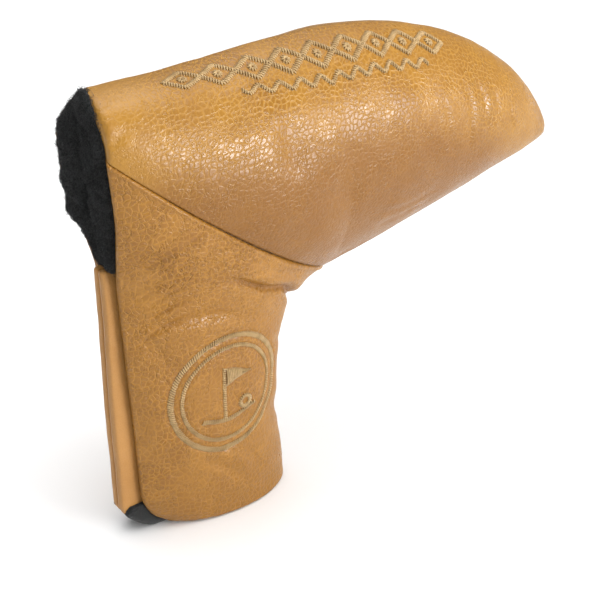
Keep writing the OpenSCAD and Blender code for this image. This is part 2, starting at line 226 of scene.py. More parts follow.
def edge_drop(grid, borders, radius):
    """How deep each point sinks so that these borders are rounded over."""
    drop = np.zeros(grid.shape[:2])
    for border in borders:
        d = np.clip(distance_from(grid, border), 0, radius)
        drop = np.maximum(drop, radius - np.sqrt(np.maximum(radius ** 2 - (radius - d) ** 2, 0)))
    return drop


def cloud(points, size, seed=0.0):
    """Smooth noise from -1 to 1 at each point, with lumps about size across."""
    flat = points.reshape(-1, 3) / size + seed
    return np.array([noise.noise(p) for p in flat.tolist()]).reshape(points.shape[:-1])


def crease(points, line, depth, width, lip=0.0, lip_at=0.0, fade=(0.25, 0.25)):
    """Height of a crease that follows a line in the X-Z plane. lip_at is the side where leather piles up."""
    path = spline(line, np.linspace(0, 1, 48))
    tangent = np.gradient(path, axis=0)
    tangent /= np.linalg.norm(tangent, axis=1, keepdims=True)
    flat = points[..., (0, 2)].reshape(-1, 2)
    offset = flat[:, None, :] - path[None, :, :]
    nearest = np.argmin((offset ** 2).sum(-1), axis=1)
    gap = offset[np.arange(len(flat)), nearest]
    side = tangent[nearest][:, 0] * gap[:, 1] - tangent[nearest][:, 1] * gap[:, 0]
    away = np.hypot(*gap.T)
    signed = np.sign(side) * away
    k = nearest / 47
    taper = smooth(k / fade[0]) * smooth((1 - k) / fade[1])
    beyond = np.exp(-(np.maximum(away - np.abs(side), 0) / width) ** 2)
    height = -depth * np.exp(-(away / width) ** 2)
    if lip:
        height += lip * np.exp(-((signed - lip_at) / (0.8 * abs(lip_at))) ** 2)
    return (height * taper * beyond).reshape(points.shape[:-1])


def grid_faces(rows, cols, first=0, flip=False):
    i, j = np.meshgrid(np.arange(rows - 1), np.arange(cols - 1), indexing="ij")
    a = first + i * cols + j
    quads = np.stack([a, a + 1, a + cols + 1, a + cols], -1).reshape(-1, 4)
    return quads[:, ::-1] if flip else quads


def make_mesh(name, points, faces, material):
    """A mesh object from points in millimetres."""
    mesh = bpy.data.meshes.new(name)
    corners = (np.asarray(points, float).reshape(-1, 3) * MM).tolist()
    mesh.from_pydata(corners, [], [list(map(int, f)) for f in faces])
    mesh.validate()
    mesh.update()
    for polygon in mesh.polygons:
        polygon.use_smooth = True
    mesh.materials.append(material)
    made = bpy.data.objects.new(name, mesh)
    bpy.context.scene.collection.objects.link(made)
    return made


def clean(obj, merge=0.0):
    """Joins points closer than merge metres, and turns every face outwards."""
    bm = bmesh.new()
    bm.from_mesh(obj.data)
    if merge:
        bmesh.ops.remove_doubles(bm, verts=bm.verts, dist=merge)
    bmesh.ops.recalc_face_normals(bm, faces=bm.faces)
    bm.to_mesh(obj.data)
    bm.free()
    return obj


def sheet_mesh(name, outer, inner, material, depth=None, closed_from=None, hide=None):
    """Closed sheet between two grids with the same rows and columns. From row closed_from its sides meet."""
    rows, cols = outer.shape[:2]
    size = rows * cols
    index = np.arange(size).reshape(rows, cols)
    stop = rows - 1 if closed_from is None else closed_from
    border = [index[0], index[:stop + 1, -1], index[:stop + 1, 0]]
    if closed_from is None:
        border.append(index[-1])
    walls = [np.stack([line[:-1], line[1:], line[1:] + size, line[:-1] + size], -1) for line in border]
    faces = np.vstack([grid_faces(rows, cols), grid_faces(rows, cols, size, True), *walls])
    points = np.vstack([outer.reshape(-1, 3), inner.reshape(-1, 3)])
    made = make_mesh(name, points, faces, material)
    # The crease depth is kept for the leather colour, which darkens with it as painted shade.
    if depth is not None:
        layer = made.data.attributes.new("crease", "FLOAT", "POINT")
        layer.data.foreach_set("value", np.concatenate([depth.reshape(-1)] * 2).astype(np.float32))
    if hide is not None:
        layer = made.data.attributes.new("hide", "FLOAT_VECTOR", "POINT")
        layer.data.foreach_set("vector", np.concatenate([hide.reshape(-1)] * 2).astype(np.float32))
    return clean(made, merge=1e-6)


def tubes_mesh(name, paths, radii, material, sides=5, tip=1.0):
    """Many round threads in one mesh. paths is (count, points, 3); each narrows to tip times its radius."""
    paths = np.asarray(paths, float)
    count, length = paths.shape[:2]
    along = np.gradient(paths, axis=1)
    along /= np.maximum(np.linalg.norm(along, axis=-1, keepdims=True), 1e-9)
    helper = np.where(np.abs(along[:, :1, 2:]) < 0.8, np.array((0.0, 0.0, 1.0)), np.array((1.0, 0.0, 0.0)))
    across = np.cross(along, np.broadcast_to(helper, along.shape))
    across /= np.maximum(np.linalg.norm(across, axis=-1, keepdims=True), 1e-9)
    other = np.cross(along, across)
    angle = np.linspace(0, 2 * math.pi, sides, endpoint=False)
    radius = np.broadcast_to(np.asarray(radii, float), (count,))[:, None, None, None]
    narrow = np.linspace(1, tip, length)[None, :, None, None]
    ring = across[:, :, None] * np.cos(angle)[:, None] + other[:, :, None] * np.sin(angle)[:, None]
    points = (paths[:, :, None] + ring * radius * narrow).reshape(-1, 3)
    i, k = np.meshgrid(np.arange(length - 1), np.arange(sides), indexing="ij")
    m = (k + 1) % sides
    one = np.stack([i * sides + k, i * sides + m, (i + 1) * sides + m, (i + 1) * sides + k], -1).reshape(-1, 4)
    starts = np.arange(count) * length * sides
    walls = (one[None] + starts[:, None, None]).reshape(-1, 4).tolist()
    low = [list(range(s + sides - 1, s - 1, -1)) for s in starts]
    high = [list(range(s + (length - 1) * sides, s + length * sides)) for s in starts]
    return make_mesh(name, points, walls + low + high, material)


# ---------------------------------------------------------------- creases, as lines in the X-Z plane
# line, depth, width, height of the lip, side of the lip (+ is left of the line), fade at each end
FRONT_CREASES = (
    (((35, 55), (30.5, 61), (26, 65.8), (17, 69.8), (7.2, 75.4), (0, 77.6)), 1.8, 1.3, 0.6, -3.4, (0.1, 0.35)),
    (((29, 24), (22, 28), (15, 35)), 0.7, 3.4, 0.0, 0.0, (0.05, 0.6)),
    (((30, 47), (24, 49), (17, 54)), 0.22, 1.6, 0.1, 3.0, (0.1, 0.5)),
)
LEG_CREASES = {
    NEAR: (
        (((-20, 65.5), (-15.8, 67.6), (-8.7, 67.5), (0.9, 66.6), (7.4, 65), (14, 65)), 0.75, 1.5, 0.6, -3.2,
         (0.4, 0.4)),
        (((-18.5, 64), (-17.5, 62.5), (-11.2, 52.9), (-8, 46)), 0.55, 2.2, 0.0, 0.0, (0.4, 0.5)),
        (((-6, 24), (2.3, 17.4), (11, 9)), 0.45, 1.6, 0.35, 3.2, (0.4, 0.3)),
        (((0, 27), (10, 20), (16, 11)), 0.35, 1.6, 0.3, -3.0, (0.4, 0.3)),
        (((12, 80), (20, 74), (27, 71), (33, 69)), 0.6, 1.5, 0.4, 2.6, (0.4, 0.2)),
    ),
    FAR: (
        (((-18, 74), (-9, 70), (2, 71.5)), 0.7, 1.6, 0.6, 3.2, (0.3, 0.4)),
        (((-15, 50), (-6, 55), (4, 54)), 0.5, 2.2, 0.4, -3.6, (0.4, 0.4)),
        (((-12, 12), (0, 18), (12, 17)), 0.45, 1.8, 0.35, 3.2, (0.4, 0.3)),
    ),
}
HEAD_CREASES = {
    NEAR: (
        (((20, 120), (22.2, 114), (24.2, 107), (29, 99)), 0.7, 4.2, 0.0, 0.0, (0.4, 0.4)),
        (((83, 117), (86.5, 108), (86, 99), (88, 92)), 0.42, 0.8, 0.22, 1.7, (0.4, 0.4)),
        (((90, 115), (92.5, 107), (92, 98)), 0.36, 0.7, 0.2, 1.6, (0.4, 0.4)),
        (((97, 113), (98, 104), (100.5, 95)), 0.45, 0.8, 0.25, -1.7, (0.4, 0.4)),
        (((104, 108), (104.5, 100), (107, 94)), 0.3, 0.7, 0.2, 1.6, (0.4, 0.4)),
        (((74, 113), (77, 106), (77, 99)), 0.28, 0.7, 0.15, 1.6, (0.4, 0.4)),
        (((120, 96), (124, 92), (125, 87)), 0.3, 0.8, 0.2, -1.7, (0.4, 0.3)),
        (((48, 86), (57, 82), (68, 81), (80, 84)), 0.3, 1.0, 0.2, 2.0, (0.4, 0.4)),
        (((50, 79), (61, 76.5), (73, 78), (84, 82)), 0.28, 1.0, 0.18, 2.0, (0.4, 0.4)),
        (((34, 100), (40, 93), (49, 90)), 0.6, 3.0, 0.0, 0.0, (0.5, 0.5)),
        (((-26, 119), (-24, 121), (-20, 124)), 0.3, 1.4, 0.2, 2.0, (0.2, 0.6)),
    ),
    FAR: (
        (((14, 118), (18, 110), (17, 101)), 0.7, 4.0, 0.0, 0.0, (0.4, 0.4)),
        (((80, 112), (83, 103), (81, 95)), 0.4, 0.9, 0.22, 1.8, (0.4, 0.4)),
        (((92, 110), (93, 102), (96, 94)), 0.4, 0.8, 0.22, -1.8, (0.4, 0.4)),
        (((45, 82), (56, 79), (70, 80)), 0.3, 1.1, 0.2, 2.2, (0.4, 0.4)),
        (((40, 98), (52, 92), (62, 94)), 0.5, 3.0, 0.0, 0.0, (0.5, 0.5)),
    ),
}
# Fans of fine wrinkles: first line, last line, how many, depth
LEG_FANS = {
    NEAR: ((((-20, 62), (-12, 66), (-5, 68)), ((-21, 84), (-10, 92), (4, 97)), 15, 0.42),
           (((-4, 72), (6, 79), (13, 82)), ((-14, 88), (-2, 90), (10, 92)), 6, 0.34)),
    FAR: ((((-18, 60), (-10, 66), (-2, 67)), ((-20, 82), (-8, 90), (3, 93)), 10, 0.25),),
}


def creases(points, lines, fans=()):
    """Height of these creases, negative in the valleys."""
    height = np.zeros(points.shape[:-1])
    for line, depth, width, lip, lip_at, fade in lines:
        height += crease(points, line, depth, width, lip, lip_at, fade)
    rng = np.random.default_rng(11)
    for first, last, count, depth in fans:
        for k in np.linspace(0, 1, count):
            line = lerp(np.array(first, float), np.array(last, float), k) + rng.uniform(-1.6, 1.6, (1, 2))
            line = line + rng.uniform(-0.8, 0.8, line.shape)
            height += crease(points, line, depth * rng.uniform(0.5, 1.3), 0.5, 0.5 * depth, 1.1, (0.4, 0.5))
    return height


def undulation(points):
    """The slight unevenness of padded leather."""
    return 0.28 * cloud(points, 14.0, 3.0) + 0.1 * cloud(points, 5.0, 9.0) + 0.03 * cloud(points, 1.6, 5.0)


# ---------------------------------------------------------------- materials
class Nodes:
    """Short calls for building a node material."""

    def __init__(self, name):
        self.material = bpy.data.materials.new(name)
        self.material.use_nodes = True
        self.tree = self.material.node_tree
        self.shader = self.tree.nodes["Principled BSDF"]
        self.place = self.add("ShaderNodeTexCoord").outputs["Object"]

    def add(self, kind, links=None, **settings):
        node = self.tree.nodes.new(kind)
        for key, value in settings.items():
            if hasattr(node, key):
                setattr(node, key, value)
            else:
                node.inputs[key.replace("_", " ")].default_value = value
        for socket, source in (links or {}).items():
            self.tree.links.new(source, node.inputs[socket])
        return node

    def noise(self, size_mm, detail=3.0, where=None, roughness=0.5):
        """Noise whose lumps are about size_mm across."""
        return self.add("ShaderNodeTexNoise", {"Vector": where or self.place}, Scale=1 / (size_mm * MM),
                        Detail=detail, Roughness=roughness).outputs["Fac"]

    def math(self, operation, a, b=0.0, c=0.0):
        node = self.add("ShaderNodeMath", operation=operation)
        for socket, value in zip(node.inputs, (a, b, c)):
            if isinstance(value, (int, float)):
                socket.default_value = value
            else:
                self.tree.links.new(value, socket)
        return node.outputs[0]

    def between(self, value, low, high, out_low=0.0, out_high=1.0):
        """Smooth step from out_low to out_high as value goes from low to high."""
        node = self.add("ShaderNodeMapRange", {"Value": value}, interpolation_type="SMOOTHSTEP")
        for key, number in (("From Min", low), ("From Max", high), ("To Min", out_low), ("To Max", out_high)):
            node.inputs[key].default_value = number
        return node.outputs["Result"]

    def mix(self, factor, a, b, blend="MIX"):
        """Colour mix; a and b are colours or sockets."""
        node = self.add("ShaderNodeMix", data_type="RGBA", blend_type=blend)
        for key, value in ((0, factor), (6, a), (7, b)):
            if isinstance(value, bpy.types.NodeSocket):
                self.tree.links.new(value, node.inputs[key])
            else:
                node.inputs[key].default_value = value if key == 0 else (*value, 1)
        return node.outputs[2]

    def bump(self, height, distance_mm, strength=1.0, after=None):
        links = {"Height": height}
        if after:
            links["Normal"] = after
        return self.add("ShaderNodeBump", links, Distance=distance_mm * MM, Strength=strength).outputs["Normal"]

    def use(self, **links):
        for key, source in links.items():
            self.tree.links.new(source, self.shader.inputs[key.replace("_", " ")])

    def fixed(self, **values):
        for key, value in values.items():
            self.shader.inputs[key.replace("_", " ")].default_value = value


def leather(name, cell_colour, net_colour, dark_tone_and_shade_colour, cell_mm, grain_mm, roughness, wrinkle_mm=0.05,
            plain_mm=0.0, painted_low_shade=0.0):
    """Pebbled leather: domed cells with a network between them, mottled, with painted shade in its creases.

    It is plainer within plain_mm of its first edge, and far from its middle line it darkens by its last argument:
    painted shade on the lower sides.
    """
    m = Nodes(name)
    flat = m.add("ShaderNodeAttribute", attribute_name="hide").outputs["Vector"]
    warp = m.add("ShaderNodeTexNoise", {"Vector": flat}, Scale=0.4 / cell_mm, Detail=2.0).outputs["Color"]
    shift = m.add("ShaderNodeVectorMath", {0: warp}, operation="SUBTRACT")
    shift.inputs[1].default_value = (0.5, 0.5, 0.5)
    scaled = m.add("ShaderNodeVectorMath", {0: shift.outputs[0]}, operation="SCALE")
    scaled.inputs["Scale"].default_value = 1.5 * cell_mm
    where = m.add("ShaderNodeVectorMath", {0: flat, 1: scaled.outputs[0]}, operation="ADD").outputs[0]
    edge = m.add("ShaderNodeTexVoronoi", {"Vector": where}, voronoi_dimensions="2D", feature="DISTANCE_TO_EDGE",
                 Scale=1 / cell_mm, Randomness=0.8).outputs["Distance"]
    centre = m.add("ShaderNodeTexVoronoi", {"Vector": where}, voronoi_dimensions="2D", feature="F1",
                   Scale=1 / cell_mm, Randomness=0.8).outputs["Distance"]
    small = m.add("ShaderNodeTexVoronoi", {"Vector": where}, voronoi_dimensions="2D", feature="F1",
                  Scale=2.2 / cell_mm).outputs["Distance"]
    dome = m.math("MULTIPLY", m.between(centre, 0.95, 0.1, 0.45, 1.0), m.between(edge, 0.0, 0.16))
    fine_dome = m.between(small, 0.8, 0.0)
    grain = m.between(m.noise(16.0, 2.0), 0.36, 0.6, 0.5, 1.0)
    along, across = m.add("ShaderNodeSeparateXYZ", {0: flat}).outputs[:2]
    if plain_mm:
        grain = m.math("MULTIPLY", grain, m.between(along, 0.2 * plain_mm, plain_mm, 0.2, 1.0))
    mottle = m.noise(7.0, 4.0, roughness=0.6)
    cloudy = m.noise(32.0, 2.0)
    depth = m.add("ShaderNodeAttribute", attribute_name="crease").outputs["Fac"]

    cells = m.mix(m.math("MULTIPLY", m.between(edge, 0.02, 0.26), grain), net_colour, cell_colour)
    patchy = m.mix(m.between(mottle, 0.4, 0.75, 0.0, 0.3), cells, dark_tone_and_shade_colour)
    light = m.mix(m.between(cloudy, 0.42, 0.66, 0.0, 0.3), patchy, net_colour)
    # Painted shade: far from the middle line, down the lower sides, the colour darkens towards the dark colour.
    lower = m.mix(m.between(m.math("ABSOLUTE", across), 22.0, 42.0, 0.0, painted_low_shade), light, dark_tone_and_shade_colour)
    # Painted shade: the colour darkens where the creases are deep.
    painted_crease_shade = m.mix(m.between(depth, 0.35, 1.8, 0.0, 0.6), lower, dark_tone_and_shade_colour)
    lines = m.noise(0.9, 3.0)
    m.use(Base_Color=m.mix(m.between(lines, 0.4, 0.75, 0.0, 0.14), painted_crease_shade, dark_tone_and_shade_colour))

    wrinkles = m.math("ABSOLUTE", m.math("SUBTRACT", m.noise(7.0, 5.0, roughness=0.62), 0.5))
    first = m.bump(m.between(wrinkles, 0.0, 0.035), wrinkle_mm)
    second = m.bump(m.math("MULTIPLY", dome, grain), grain_mm, after=first)
    third = m.bump(fine_dome, grain_mm * 0.25, after=second)
    m.use(Normal=m.bump(m.noise(0.35, 2.0), 0.012, after=third))
    rough = m.between(dome, 0.1, 0.7, roughness + 0.2, roughness)
    m.use(Roughness=m.math("ADD", rough, m.between(mottle, 0.3, 0.7, -0.04, 0.06)))
    m.fixed(Specular_IOR_Level=0.45)
    return m.material


def plush(name, dark, pale):
    """Black pile fabric, or the strands of one."""
    m = Nodes(name)
    clump = m.noise(4.0, 4.0, roughness=0.65)
    pale_wisp_and_glint = m.noise(1.1, 3.0)
    # The paler clumps and wisps are partly the pile's own tone and partly painted glints on its strands.
    base = m.mix(m.between(clump, 0.42, 0.72), dark, pale)
    m.use(Base_Color=m.mix(m.between(pale_wisp_and_glint, 0.52, 0.8, 0.0, 0.7), base, pale))
    m.use(Normal=m.bump(m.noise(0.6, 4.0, roughness=0.7), 0.5))
    m.fixed(Roughness=0.78, Specular_IOR_Level=0.25, Sheen_Weight=0.25, Sheen_Roughness=0.5)
    return m.material


def thread(name, colour, shade, twist_mm):
    """Twisted thread with a slight sheen."""
    m = Nodes(name)
    ply = m.add("ShaderNodeTexWave", {"Vector": m.place}, wave_type="BANDS", bands_direction="DIAGONAL",
                Scale=1 / (twist_mm * MM), Distortion=1.5, Detail=2.0).outputs["Fac"]
    tone = m.mix(m.between(m.noise(2.5, 3.0), 0.35, 0.7), colour, shade)
    # Painted shade: the colour darkens in the grooves between the plies of the twist.
    m.use(Base_Color=m.mix(m.between(ply, 0.0, 0.5, 0.45, 0.0), tone, shade))
    m.use(Normal=m.bump(ply, 0.06))
    m.fixed(Roughness=0.48, Specular_IOR_Level=0.4, Sheen_Weight=0.2)
    return m.material


def tape(name, colour, pale):
    """Woven nylon of the hook-and-loop tape."""
    m = Nodes(name)
    across, along = (
        m.add("ShaderNodeTexWave", {"Vector": m.place}, bands_direction=way, Scale=1 / (pitch * MM)).outputs["Fac"]
        for way, pitch in (("X", 0.9), ("Z", 0.7)))
    weave = m.math("MULTIPLY", across, along)
    m.use(Base_Color=m.mix(m.math("MULTIPLY", weave, m.noise(3.0)), colour, pale))
    m.use(Normal=m.bump(weave, 0.15))
    m.fixed(Roughness=0.6, Specular_IOR_Level=0.3)
    return m.material


# The tan leather has painted shade on the lower sides of the head.
TAN = leather("tan_leather", (0.262, 0.114, 0.012), (0.40, 0.197, 0.028), (0.20, 0.075, 0.007),
              cell_mm=1.5, grain_mm=0.10, roughness=0.30, plain_mm=24, painted_low_shade=0.75)
LEG = leather("leg_leather", (0.275, 0.115, 0.011), (0.385, 0.176, 0.022), (0.17, 0.062, 0.005),
              cell_mm=1.6, grain_mm=0.12, roughness=0.31, wrinkle_mm=0.12)
STRIP = leather("strip_leather", (0.45, 0.215, 0.055), (0.49, 0.245, 0.068), (0.37, 0.165, 0.036),
                cell_mm=0.8, grain_mm=0.04, roughness=0.40, wrinkle_mm=0.02)
PLUSH = plush("plush_backing", (0.0015, 0.002, 0.002), (0.010, 0.012, 0.012))
FUR = plush("fur_strands", (0.002, 0.0025, 0.0025), (0.026, 0.032, 0.032))
TAPE = tape("tape_nylon", (0.006, 0.006, 0.007), (0.02, 0.02, 0.022))
SEAM_THREAD = thread("seam_thread", (0.22, 0.11, 0.035), (0.09, 0.04, 0.012), 0.5)
SATIN = thread("embroidery_thread", (0.66, 0.45, 0.20), (0.46, 0.29, 0.11), 0.35)


# ---------------------------------------------------------------- leather shells
def both_sides(point, u, t):
    """One grid right round: near lower edge, up over the middle plane, and down the far side."""
    near, far = point(u, t, NEAR), point(u, t, FAR)
    return np.concatenate([near, far[:, -2::-1]], axis=1)


def rounded(grid, normal, height, drop):
    """Outer and inner faces of the leather, rounded over where drop says."""
    outer = grid + normal * (height - drop)[..., None]
    inner = grid + normal * (height - np.maximum(LEATHER_T, drop + 0.1))[..., None]
    return outer, inner


def halves(grid, cols):
    """The near and the far part of a grid that goes right round, both from the lower edge up."""
    return {NEAR: grid[:, :cols], FAR: grid[:, :cols - 2:-1]}


HEAD_COLS, LEG_ROWS, LEG_COLS = 90, 320, 130
SEAM_ROWS, TOE_ROWS = 128, 136
HEAD_U = np.concatenate([np.linspace(0, SEAM_SHARE, SEAM_ROWS), np.linspace(SEAM_SHARE, 1, TOE_ROWS)[1:]])
HEAD_ROW_COUNT = len(HEAD_U)
SEAM_ROLL, HEEL_ROLL, HEM_ROLL, BACK_ROLL = 0.5, 2.2, 1.5, 1.3
GROOVE_SLOPE, GROOVE_REACH = 0.12, 4.0


def meet(face, grid):
    """Brings the two lower edges together on the middle plane, in the rows that the toe seam closes."""
    closed = face[SEAM_ROWS - 1:]
    for border, side in (("first_col", NEAR), ("last_col", FAR)):
        lower = distance_from(grid, border)[SEAM_ROWS - 1:]
        shut = side * np.maximum(side * closed[..., 1], GROOVE_SLOPE * lower)
        closed[..., 1] = np.where(lower < GROOVE_REACH, shut, closed[..., 1])
    closed[:, 0] = closed[:, -1] = (closed[:, 0] + closed[:, -1]) / 2 * np.array((1, 0, 1))


def head_faces():
    """Outer and inner grid of the head pocket, their normals and the height of the relief."""
    u, t = HEAD_U[:, None], np.linspace(0, 1, HEAD_COLS)[None, :]
    grid = both_sides(head_point, u, t)
    normal = outward(grid)
    normal[-1] = normal[-3].mean(0) / np.linalg.norm(normal[-3].mean(0))
    height = undulation(grid)
    ridge = smooth((1 - t) / 0.06)
    away = np.concatenate([ridge, ridge[:, -2::-1]], axis=1)
    near = (np.arange(grid.shape[1]) < HEAD_COLS)[None, :]
    sides = np.where(near, creases(grid, HEAD_CREASES[NEAR]), creases(grid, HEAD_CREASES[FAR]))
    height += sides * away
    lower = np.minimum(distance_from(grid, "first_col"), distance_from(grid, "last_col"))
    closed = smooth((u - SEAM_SHARE) / 0.02)
    height -= closed * (0.9 * np.exp(-(lower / 0.8) ** 2) - 0.25 * np.exp(-((lower - 2.2) / 1.2) ** 2))
    height *= smooth((1 - u) / 0.02)
    drop = edge_drop(grid, ("first_col", "last_col"), SEAM_ROLL) * (1 - closed)
    drop = np.maximum(drop, edge_drop(grid, ("first_row",), HEEL_ROLL))
    outer, inner = rounded(grid, normal, height, drop)
    meet(outer, grid)
    meet(inner, grid)
    outer[-1] = outer[-1].mean(0)
    inner[-1] = inner[-4].mean(0)
    return outer, inner, normal, height, grid


def leg_faces():
    """The same for the leg, as dictionaries with one grid for each side."""
    w, t = np.linspace(0, 1, LEG_ROWS)[:, None], np.linspace(0, 1, LEG_COLS)[None, :]
    grid = both_sides(leg_point, w, t)
    normal = outward(grid)
    height = undulation(grid) + creases(grid, FRONT_CREASES)
    ridge = smooth((1 - t) / 0.08)
    away = np.concatenate([ridge, ridge[:, -2::-1]], axis=1)
    near = (np.arange(grid.shape[1]) < LEG_COLS)[None, :]
    sides = np.where(near, creases(grid, LEG_CREASES[NEAR], LEG_FANS[NEAR]),
                     creases(grid, LEG_CREASES[FAR], LEG_FANS[FAR]))
    height += sides * away
    height *= smooth(w / 0.03)
    height += 0.3 * np.exp(-((distance_from(grid, "first_row") - 1.0) / 0.6) ** 2)
    height[:, :LEG_COLS] += badge_dent(grid[:, :LEG_COLS])
    drop = edge_drop(grid, ("first_row",), SEAM_ROLL)
    drop = np.maximum(drop, edge_drop(grid, ("last_row",), HEM_ROLL))
    drop = np.maximum(drop, edge_drop(grid, ("first_col", "last_col"), BACK_ROLL))
    outer, inner = rounded(grid, normal, height, drop)
    for face in (outer, inner):
        face[..., 2] = np.maximum(face[..., 2], 0.02)
    return [halves(part, LEG_COLS) for part in (outer, inner, normal, height, grid)]


BADGE_X, BADGE_Z, BADGE_R, BADGE_INNER_R = 5.0, 41.0, 17.5, 14.4


def badge_dent(points):
    """How the stitches of the badge draw the leather in."""
    away = np.hypot(points[..., 0] - BADGE_X, points[..., 2] - BADGE_Z)
    # The dent also darkens the leather round the stitches, as painted crease shade.
    dent = -0.5 * np.exp(-((away - BADGE_R) / 1.1) ** 2) - 0.35 * np.exp(-((away - BADGE_INNER_R) / 0.8) ** 2)
    x, z = BADGE_X, BADGE_Z
    for line in (((x - 1.5, z - 7.4), (x - 1.5, z + 8.2)), ((x - 8.6, z - 6.6), (x, z - 8.1), (x + 8.4, z - 6.4))):
        dent += crease(points, line, 0.3, 0.8, fade=(0.01, 0.01))
    return dent


head_outer, head_inner, head_normal, head_height, head_base = head_faces()
leg_outer, leg_inner, leg_normal, leg_height, leg_base = leg_faces()
SIDE_NAME = {NEAR: "near", FAR: "far"}


def on_wing(obj):
    """Bakes obj's transform into its mesh."""
    normal = np.array((FOLD_TOP[1] - FOLD_FOOT[1], FOLD_FOOT[0] - FOLD_TOP[0]))
    normal /= np.linalg.norm(normal)
    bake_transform(obj)


def sharpen_middle(obj):
    """Keeps the shading of a half's outer face clear of its flat end on the middle plane."""
    bm = bmesh.new()
    bm.from_mesh(obj.data)
    for edge in bm.edges:
        at_middle = all(abs(v.co.y) < 0.4 * MM for v in edge.verts)
        edge.smooth = not (at_middle and edge.calc_face_angle(0) > 0.8)
    bm.to_mesh(obj.data)
    bm.free()


def head_leather():
    # Crease depth, which the leather colour turns into painted shade.
    depth = np.maximum(-head_height, 0)
    across = distance_from(head_base, "first_col")
    across -= across[:, HEAD_COLS - 1:HEAD_COLS]
    hide = np.stack([distance_from(head_base, "first_row"), across, 0 * across], -1)
    obj = sheet_mesh("upper_leather", head_outer, head_inner, TAN, depth, SEAM_ROWS - 1, hide)
    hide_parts("upper_shell")
    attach(obj, "cover")


def leg_hide(side):
    """Place on the flat hide: height, and the way round from the front fold."""
    grid = leg_base[side]
    step = np.hypot(np.diff(grid[..., 0], axis=1), np.diff(grid[..., 1], axis=1))
    across = np.concatenate([np.cumsum(step[:, ::-1], axis=1)[:, ::-1], 0 * step[:, :1]], axis=1)
    across -= np.maximum(grid[:, -1:, 0] - LEG_FRONT[3][0], 0)
    return np.stack([grid[..., 2], side * across, 0 * across], -1)


def leg_leather(side, nodes):
    obj = sheet_mesh(f"{SIDE_NAME[side]}_leg_leather", leg_outer[side], leg_inner[side], LEG,
                     np.maximum(-leg_height[side], 0), hide=leg_hide(side))
    sharpen_middle(obj)
    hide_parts(*nodes)
    on_wing(obj)


# ---------------------------------------------------------------- plush lining and fur
def toward_middle(grid, distance):
    """The grid drawn in towards the middle of each row."""
    middle = grid.mean(axis=1, keepdims=True)
    ray = middle - grid
    length = np.maximum(np.linalg.norm(ray, axis=-1, keepdims=True), 1e-6)
    return grid + ray / length * np.minimum(distance, 0.6 * length)


def head_lining():
    rows = np.linspace(3, HEAD_ROW_COUNT - 14, 76).astype(int)
    cols = np.linspace(1, 2 * HEAD_COLS - 3, 78).astype(int)
    pick = np.ix_(rows, cols)
    outer = head_inner[pick] - head_normal[pick] * LINING_GAP
    inner = toward_middle(outer, LINING_IN - LINING_OUT) + 0.25 * cloud(outer, 2.0)[..., None]
    obj = sheet_mesh("upper_plush", outer, inner, PLUSH)
    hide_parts("upper_lining")
    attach(obj, "cover")


def leg_lining_faces():
    rows = np.linspace(5, LEG_ROWS - 5, 110).astype(int)
    near_cols, far_cols = np.linspace(26, LEG_COLS - 1, 46), np.linspace(LEG_COLS, 2 * LEG_COLS - 28, 45)
    cols = np.concatenate([near_cols, far_cols]).astype(int)
    inner_face = np.concatenate([leg_inner[NEAR], leg_inner[FAR][:, -2::-1]], axis=1)
    normal = np.concatenate([leg_normal[NEAR], leg_normal[FAR][:, -2::-1]], axis=1)
    pick = np.ix_(rows, cols)
    outer = inner_face[pick] - normal[pick] * LINING_GAP
    inner = toward_middle(outer, LINING_IN - LINING_OUT)
    outer[:, 45, 1] = inner[:, 45, 1] = 0
    return halves(outer, 46), halves(inner, 46)


plush_outer, plush_inner = leg_lining_faces()


def leg_lining(side, nodes):
    obj = sheet_mesh(f"{SIDE_NAME[side]}_leg_plush", plush_outer[side], plush_inner[side], PLUSH)
    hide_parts(*nodes)
    on_wing(obj)


def sample(grid, row, col):
    """Points of a grid at fractional rows and columns."""
    i = np.clip(np.floor(row).astype(int), 0, grid.shape[0] - 2)
    j = np.clip(np.floor(col).astype(int), 0, grid.shape[1] - 2)
    a, b = (row - i)[..., None], (col - j)[..., None]
    return ((1 - a) * ((1 - b) * grid[i, j] + b * grid[i, j + 1])
            + a * ((1 - b) * grid[i + 1, j] + b * grid[i + 1, j + 1]))


def strands(name, roots, normals, length, lie, seed, lean):
    """Short fur: each strand leaves its root along the normal and lies over in a direction that swirls."""
    rng = np.random.default_rng(seed)
    count = len(roots)
    swirl = np.stack([cloud(roots, 5.0, shift) for shift in (0, 40, 80)], -1)
    flow = swirl * 1.6 + rng.normal(0, 0.35, (count, 3)) + np.array(lean)
    flow -= normals * (flow * normals).sum(-1, keepdims=True)
    flow /= np.maximum(np.linalg.norm(flow, axis=1, keepdims=True), 1e-6)
    size = length * rng.uniform(0.6, 1.25, (count, 1, 1))
    k = np.linspace(0, 1, 6)[None, :, None]
    curl = rng.normal(0, 0.35, (count, 1, 3)) * np.sin(k * math.pi)
    up = normals[:, None] * (k * (1 - lie) + 0.25 * np.sin(k * math.pi))
    paths = roots[:, None] + size * (up + flow[:, None] * k ** 1.3 * lie + curl * 0.35)
    paths[..., 2] = np.maximum(paths[..., 2], 0.15)
    return tubes_mesh(name, paths, rng.uniform(0.05, 0.09, count), FUR, sides=3, tip=0.3)


FUR_ROWS, FUR_COLS = 90, 30
FUR_LOW_W = 0.29
FUR_BED_T = 6.0
# How far the fur stands out of the heel opening, by height
FUR_BULGE = {
    NEAR: ((80, 2.6), (132, 2.4)),
    FAR: ((80, 1.3), (90, 1.5), (93, 2.2), (97, 3.6), (108, 3.1), (118, 2.7), (126, 2.1), (132, 0.6)),
}


